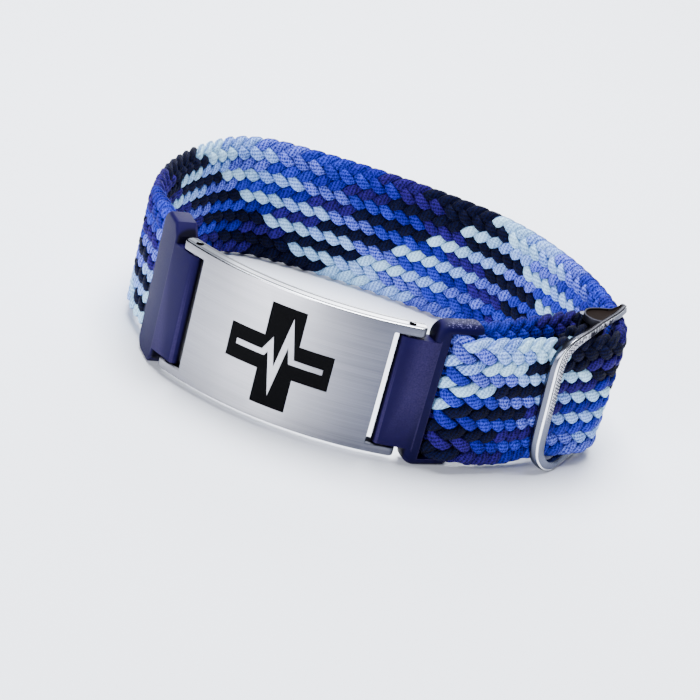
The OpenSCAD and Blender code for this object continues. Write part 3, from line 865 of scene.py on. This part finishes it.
def side_leaf(up):
    """A leaf of steel with a raised rim round a dished face, the upper (1) or lower (-1) one."""
    def spot(x, y):
        return x * SIDE_LEN - BUCKLE_LEAN * up * ARM_Z, -y * FRONT_OUT

    low, high = up * ARM_Z - SIDE_T / 2, up * ARM_Z + SIDE_T / 2
    outline = through([spot(x, y) for x, y in SIDE], 5, closed=True)
    leaf = outline_block("side_leaf", outline.tolist(), low, high)
    face = high if up > 0 else low
    middle = spot(*LEAF_MIDDLE) + (face,)
    with editing(leaf):
        bpy.ops.mesh.select_mode(type="FACE")
        bpy.ops.mesh.select_all(action="DESELECT")
    for polygon in leaf.data.polygons:
        polygon.select = all(abs(leaf.data.vertices[v].co.z - face) < NEAR
                             for v in polygon.vertices)
    # The face shrinks inside its rim and then sinks
    with editing(leaf):
        bpy.ops.mesh.extrude_region_move()
        bpy.ops.transform.resize(value=DISH_TOP, center_override=middle)
        bpy.ops.mesh.extrude_region_move(
            TRANSFORM_OT_translate={"value": (0, 0, -up * LEAF_RIM)})
        bpy.ops.transform.resize(value=DISH_FOOT, center_override=middle)
    outward_faces(leaf)
    soften(leaf, LEAF_EDGE, 2, 45)
    # The leaf is marked for its painted dark reflection, darkest on the dished face
    marks = leaf.data.uv_layers.new(name="bar")
    for polygon in leaf.data.polygons:
        dished = (abs(polygon.center.z - face) > DISH_DEEP
                  and polygon.normal.z * up > DISH_FACING)
        for k in polygon.loop_indices:
            marks.data[k].uv = (DISH_MARK if dished else LEAF_MARK, 0)
    return leaf


def slide_buckle():
    parts = [front_bar(), side_leaf(1), side_leaf(-1)]
    bar = block("inner_bar", (-INNER_BAR, -INNER_T / 2, -ARM_Z),
                (INNER_PAST, INNER_T / 2, ARM_Z))
    round_edges(bar, lambda a, b: abs(a.z - b.z) > ARM_Z, INNER_T * INNER_ROUND, 5)
    bar.data.transform(Matrix.Rotation(math.radians(INNER_HEADING - RUN_HEADING), 4, "Z"))
    parts.append(bar)
    for part in parts:
        in_plan(part, RIGHT, CORNER, RUN_HEADING)
    alone(parts[0])
    for part in parts:
        part.select_set(True)
    bpy.ops.object.join()
    parts[0].name = "slide_buckle"
    smooth(parts[0], 30)
    return parts[0]


# Finishes. Places in them are in millimetres, as the pieces are drawn, and a pair of places is
# where a ramp starts and ends. Noise is scaled by the metre and bumps are metres deep. A pair of
# colours is the two that a finish varies between.
# Black of the painted shade in the plate's holes and notches and on the pins' ends
SHADE_BLACK = (0.003, 0.003, 0.004)
# Plate: polished edge, the two fine dark lines of painted reflection along it, and the painted
# shade round the pins and notches
POLISHED, EDGE_LINE, LINE_WIDE = (0.20, 0.10), 0.55, (0.26, 0.14)
HOLE_SHADE_WIDE, WALL_SHADE_FAR, WALL_SHADE_DEEP, WALL_SHADE_UP = (0.5, 0.62), (0.5, 0.4), (0.4, 0.6), 0.1
# Across the plate from its middle: where its painted shade grows at the right, where that shade
# stops at the left, and where the painted dark reflection on its polished edges fades out
SATIN_SHADE_RIGHT, SATIN_SHADE_LEFT, DARK_EDGE_REFLECTION = (-2.1, 16.9), (-19.1, -7.1), (-15.1, 8.9)
SATIN = (0.40, 0.395, 0.415), (0.52, 0.51, 0.53)
SHADED_SATIN = (0.095, 0.10, 0.13), (0.155, 0.16, 0.20)
POLISH = (0.55, 0.56, 0.59), (0.9, 0.9, 0.93)
DARK_REFLECTED_POLISH = (0.07, 0.075, 0.085), (0.24, 0.25, 0.27)
DARK_REFLECTION_LINE = (0.03, 0.03, 0.035)


def brushed_plate():
    """Satin steel, brushed along the plate, with polished long edges."""
    steel = Finish("brushed plate", Metallic=1.0, Anisotropic=0.8, Anisotropic_Rotation=0.25,
                   Specular_Tint=(0.5, 0.5, 0.5))
    fine = steel.noise(1.0, 3, steel.place((60, 60, 9000)))
    broad = steel.noise(1.0, 2, steel.place((40, 40, 900)))
    cloudy = steel.noise(90.0)
    x, _, z = steel.drawn()
    edge = abs(z).ramp(*(PLATE_H / 2 - far for far in POLISHED))
    # Depth below the outer face, for the fine dark lines of painted reflection along the polished
    # edges
    depth = PLATE_R - steel.away((0, PLATE_R))
    line = abs(abs(depth - PLATE_T / 2) - (PLATE_T / 2 - EDGE_LINE)).ramp(*LINE_WIDE)
    # Painted shade in the holes round the pins, and on the inner half of each notch's wall
    solid, notch_wall_shade = 1, 0
    for side in (LEFT, RIGHT):
        away = steel.away(bar_place(side))
        solid = solid * away.ramp(*HOLE_SHADE_WIDE)
        notch_wall_shade = notch_wall_shade + away.ramp(*(NOTCH_DEPTH + far for far in WALL_SHADE_FAR))
    notch_wall_shade = notch_wall_shade * depth.ramp(*WALL_SHADE_DEEP) * (1 - abs(z).ramp(NOTCH_H / 2, NOTCH_H / 2 + WALL_SHADE_UP))
    # Painted shade: the satin face is darker towards the right link and a little at the left, in
    # place of its darker reflection there
    tone = (fine * 0.5 + broad * 0.3 + cloudy * 0.2).ramp(0.3, 0.7)
    satin_shade = x.ramp(*SATIN_SHADE_RIGHT) * 0.95 + (1 - x.ramp(*SATIN_SHADE_LEFT)) * 0.4
    face = notch_wall_shade.mix(satin_shade.mix(tone.mix(*SATIN), tone.mix(*SHADED_SATIN)), SHADE_BLACK)
    # Painted dark reflection: the polished edges are darker towards the left link
    bright = x.ramp(*DARK_EDGE_REFLECTION).mix(cloudy.ramp(0.35, 0.65).mix(*DARK_REFLECTED_POLISH),
                                    cloudy.mix(*POLISH))
    # Painted reflection: dark fine lines along the polished edges
    bright = (line * 0.9).mix(bright, DARK_REFLECTION_LINE)
    steel.paint(Base_Color=solid.mix(SHADE_BLACK, edge.mix(face, bright)),
                Roughness=(0.36 + 0.12 * fine) * (1 - edge) + 0.12 * edge)
    return steel.bump(fine * (1 - edge), 0.00002, 0.5)


# Where painted shade darkens the pins' ends over the notch, and the steel between them
PIN_SHADE = (0.4, 0.5)
TURNED_STEEL = (0.5, 0.5, 0.52), (0.62, 0.62, 0.64)


def bar_steel():
    """Turned steel. The pins' ends are painted dark as the shade in their holes."""
    steel = Finish("bar steel", Metallic=1.0, Specular_Tint=(0.4, 0.4, 0.4))
    speck = steel.noise(1500.0)
    # Painted shade on the pins' ends
    end = abs(steel.drawn()[2]).ramp(*(NOTCH_H / 2 + up for up in PIN_SHADE))
    return steel.paint(Base_Color=end.mix(speck.mix(*TURNED_STEEL), SHADE_BLACK),
                       Roughness=0.3 + 0.1 * speck + 0.4 * end)


ENAMEL = (0.0005, 0.0005, 0.0007), (0.002, 0.002, 0.0025)


def black_enamel():
    """Even black fill with a fine grain."""
    fill = Finish("black enamel", Metallic=0.0, Specular_IOR_Level=0.03)
    grain = fill.noise(3500.0)
    fill.paint(Base_Color=grain.mix(*ENAMEL), Roughness=0.5 + 0.15 * grain)
    return fill.bump(grain, 0.00001, 0.3)


# Links: shade beyond this distance from a spring bar and this height, shade on the right
# tongue's edge, and where the right frame's painted shade and its specks begin across and upwards
SHADE_FAR, SHADE_UP, SHADE_IN = (1.1, 0.6), (-0.1, 0.3), (0.6, 1.0)
FRAME_SHADE_FROM, SPECKS_FROM, SPECKS_UP = (21.1, 22.1), (21.9, 22.9), (0.5, 0.2)
INDIGO = (0.0044, 0.0022, 0.028), (0.0058, 0.0030, 0.038)
FRAME_SHADE_INDIGO, SHADED_INDIGO = (0.0030, 0.0016, 0.026), (0.0006, 0.0003, 0.003)
SPECK_VIOLET, WORN_VIOLET = (0.11, 0.10, 0.24), (0.06, 0.045, 0.13)


def moulded_link():
    """Dark indigo moulding, matt, a little worn on the rims."""
    skin = Finish("moulded link", Metallic=0.0, Specular_IOR_Level=0.05)
    grain = skin.noise(4200.0, 3)
    cloudy = skin.noise(160.0)
    worn = skin.node("ShaderNodeNewGeometry", {}, {}, "Pointiness").ramp(0.54, 0.60)
    # Shade darkens the walls beside the plate's lugs and the tongues' edges in its notches
    x, _, z = skin.drawn()
    shade = 0
    for side in (LEFT, RIGHT):
        shade = shade + skin.away(bar_place(side)).ramp(*(TONGUE_LEN + far for far in SHADE_FAR))
    shade = shade * abs(z).ramp(*(TONGUE_H / 2 + up for up in SHADE_UP))
    inward = (float(bar_place(RIGHT)[0]) - abs(x)).ramp(*SHADE_IN)
    base = (shade * 0.95 + inward).mix(cloudy.mix(*INDIGO), SHADED_INDIGO)
    # Painted shade makes the right link's frame the darker one, with pale specks along its top
    base = x.ramp(*FRAME_SHADE_FROM).mix(base, FRAME_SHADE_INDIGO)
    top = z.ramp(*(FRAME_H / 2 - down for down in SPECKS_UP))
    specks = skin.noise(3600.0, 1).ramp(0.58, 0.68) * top * x.ramp(*SPECKS_FROM)
    base = specks.mix(base, SPECK_VIOLET)
    skin.paint(Base_Color=(worn * grain * 0.5).mix(base, WORN_VIOLET),
               Roughness=0.46 + 0.12 * grain)
    return skin.bump(grain, 0.00003, 0.35)


# Stitches of a cord's cover: length of one, how many go round, and the length in which they
# wind on by one
TURN = 2 * math.pi
STITCH_LEN, STITCHES_ROUND, WIND_LEN = 0.56, 8, 3.4
# What the dye is multiplied by between the stitches, and as painted shade along the sides of a cord
KNIT_SHADE, SIDE_SHADE = (0.17, 0.20, 0.38), (0.12, 0.15, 0.30)


def dyed_braid():
    """Each cord carries its dye; the knit of its cover is two crossing rows of stitches."""
    cord = Finish("dyed braid", Metallic=0.0, Specular_IOR_Level=0.05, Sheen_Weight=0.015,
                  Sheen_Roughness=0.5)
    dye = cord.node("ShaderNodeVertexColor", {"layer_name": "dye"}, {})
    u, v = cord.uv("stitch")
    uneven = cord.noise(2600.0)
    stray = cord.noise(1600.0) * 9.0
    # Small stitches in staggered rows, which wind slowly round the cord and are never quite even
    stitch = ((u * (TURN / STITCH_LEN) + v * TURN + stray).sine()
              * (v * (TURN * STITCHES_ROUND) + u * (TURN / WIND_LEN) + stray).sine())
    knit = stitch * 0.5 + 0.5
    light = (knit * 0.8 + uneven * 0.6).ramp(0.45, 0.92)
    # The stitches show less on the pale cords
    paleness = cord.node("ShaderNodeRGBToBW", {}, {"Color": dye}).ramp(0.1, 0.6)
    light = light + (1 - light) * paleness * 0.5
    knitted = light.mix(cord.blend("MULTIPLY", 1.0, dye, KNIT_SHADE),
                        cord.blend("SCREEN", 1.0, dye, dye))
    # Painted shade darkens each cord along its sides, where it dips beside its neighbours
    side = abs((v * TURN + math.pi / 2).sine()).ramp(0.80, 1.0)
    cord.paint(Base_Color=cord.blend("MULTIPLY", side * 0.8, knitted, SIDE_SHADE),
               Roughness=0.62 + 0.2 * knit)
    return cord.bump(knit + 0.3 * uneven, 0.00012, 0.8)


# Length of one stippled dot of the buckle's bar, and how many lie across a side of its section
DOT_LEN, DOTS_ACROSS = 0.55, 1.5
# Bands of the bar's section, counted in its corners, and stretches along it from its middle
GROOVE_BAND, STIPPLE_BAND = ((6.6, 7.0), (8.2, 8.6)), ((3.9, 4.1), (4.9, 5.1))
FACET_BAND, RIDGE_BAND = ((8.6, 9.2), (11.2, 11.8)), ((5.0, 5.4), (6.2, 6.8))
STIPPLE_RUN, COARSE_FROM = ((-3.5, 1.0), (23.0, 26.0)), (9, 14)
UPPER_FROM, LOWER_TO, ARM_FROM, ARM_EDGE_FROM = (-3, 2), (-6, 3), (9, 15), (8.0, 8.6)
# Band of the painted dark reflection on the leaves: from the mark of the dished face to the bar's
# own numbers, with the leaf's mark between them
DISH_BAND = (-4, -1)
# Colours: the plain steel, painted dark as a dark reflection; the dots; the facet painted bright as
# a highlight and the arms' upper edge painted dark as a reflection; the groove painted dark as
# shade and the dished face painted dark as a reflection
BUCKLE_REFLECTION_GREY = (0.10, 0.105, 0.135), (0.125, 0.135, 0.18)
DOT_GREY = (0.02, 0.02, 0.03), (0.70, 0.70, 0.76)
FACET_HIGHLIGHT, ARM_EDGE_REFLECTION = (0.97, 0.97, 0.99), (0.06, 0.06, 0.07)
GROOVE_SHADE, DISH_REFLECTION_BLACK = (0.03, 0.03, 0.04), (0.010, 0.007, 0.006)


def buckle_steel():
    """Polished steel, painted dark as a dark reflection. The wide slope of the bar's upper half is
    stippled; its groove is painted dark as shade, its facet and ridge are painted bright as
    highlights, and the arms' upper edge and the leaves are painted dark as reflections.
    The UV map counts the corners of the section round the bar, and millimetres along it."""
    steel = Finish("buckle steel", Metallic=1.0, Specular_Tint=(0.5, 0.5, 0.5))
    around, length = steel.uv("bar")
    rough = steel.noise(900.0)
    # Painted dark reflection on the leaves, darkest on their dished faces
    dish_reflection = 1 - around.ramp(*DISH_BAND)
    upper, lower = length.ramp(*UPPER_FROM), 1 - length.ramp(*LOWER_TO)
    arm, coarse = length.ramp(*ARM_FROM), length.ramp(*COARSE_FROM)
    # Painted shade in the groove
    groove = around.between(*GROOVE_BAND) * upper
    stipple = around.between(*STIPPLE_BAND) * length.between(*STIPPLE_RUN)
    dots = (length * (TURN / DOT_LEN)).sine() * (around * (TURN * DOTS_ACROSS)).sine()
    dots = (dots + 2.2 * steel.noise(2600.0) - 1.1).ramp(-0.3, 0.6)
    # Coarser on the arms
    dots = dots * (1 - coarse) + steel.noise(1500.0, 1).ramp(0.42, 0.58) * coarse
    # Painted highlights on the facet and, in the upper half, on the ridge
    facet_highlight = around.between(*FACET_BAND) * (1 - arm) + around.between(*RIDGE_BAND) * upper
    # Plain steel, painted dark as a dark reflection, lighter towards the bottom of the bar
    plain = (rough * 0.3 + 0.7 * lower).mix(*BUCKLE_REFLECTION_GREY)
    # Painted dark reflection on the arms' upper edge
    plain = (around.ramp(*ARM_EDGE_FROM) * arm).mix(plain, ARM_EDGE_REFLECTION)
    plain = dish_reflection.mix(facet_highlight.mix(plain, FACET_HIGHLIGHT), DISH_REFLECTION_BLACK)
    steel.paint(Base_Color=groove.mix(stipple.mix(plain, dots.mix(*DOT_GREY)), GROOVE_SHADE),
                Roughness=0.2 + 0.1 * rough + 0.2 * stipple + 0.2 * groove + 0.35 * dish_reflection)
    return steel.bump(dots * stipple, 0.00015, 0.8)


# Name, place in metres from the middle of the bracelet, size, power and colour
LIGHTS = [("top light", (-0.05, 0.08, 0.50), 0.32, 11.0, (0.90, 0.94, 1.0)),
          ("window", (-0.18, -0.52, 0.22), 0.22, 3.8, (0.90, 0.93, 1.0)),
          ("back light", (-0.10, 0.50, 0.27), 0.35, 3.5, (0.92, 0.95, 1.0))]
ROOM_COLOUR, ROOM_LIGHT = (0.74, 0.78, 1.0, 1), 0.13
PALE_FLOOR = (0.89, 0.90, 0.94), (0.92, 0.93, 0.97)


def floor_and_light():
    bpy.ops.object.select_all(action="DESELECT")
    bpy.ops.mesh.primitive_plane_add(size=3)
    floor = bpy.context.object
    floor.name = "floor"
    pale = Finish("pale floor", Roughness=0.85, Metallic=0.0)
    pale.paint(Base_Color=pale.noise(25.0, 3).mix(*PALE_FLOOR))
    floor.data.materials.append(pale.material)
    for name, place, size, power, colour in LIGHTS:
        data = bpy.data.lights.new(name, "AREA")
        data.shape, data.size, data.energy, data.color = "SQUARE", size, power, colour
        lamp = bpy.data.objects.new(name, data)
        lamp.location = place
        towards = Vector((0, 0, 0.012)) - Vector(place)
        lamp.rotation_euler = towards.to_track_quat("-Z", "Y").to_euler()
        bpy.context.scene.collection.objects.link(lamp)
    world = bpy.data.worlds.new("soft room")
    world.use_nodes = True
    room = world.node_tree.nodes["Background"].inputs
    room["Color"].default_value = ROOM_COLOUR
    room["Strength"].default_value = ROOM_LIGHT
    bpy.context.scene.world = world


# Assembly
moulded, bars = moulded_link(), bar_steel()
settle(medical_plate(), brushed_plate(), "id_plate")
settle(link(LEFT), moulded, "connector_left")
settle(link(RIGHT), moulded, "connector_right")
settle(slide_buckle(), buckle_steel(), "slide_buckle")
dress(braided_strap(), dyed_braid(), "strap")
for node, finish in (("emblem", black_enamel()), ("spring_bar_left", bars),
                     ("spring_bar_right", bars)):
    solid = frame["nodes"][node]
    solid.data.materials.clear()
    solid.data.materials.append(finish.material)
floor_and_light()
camera()
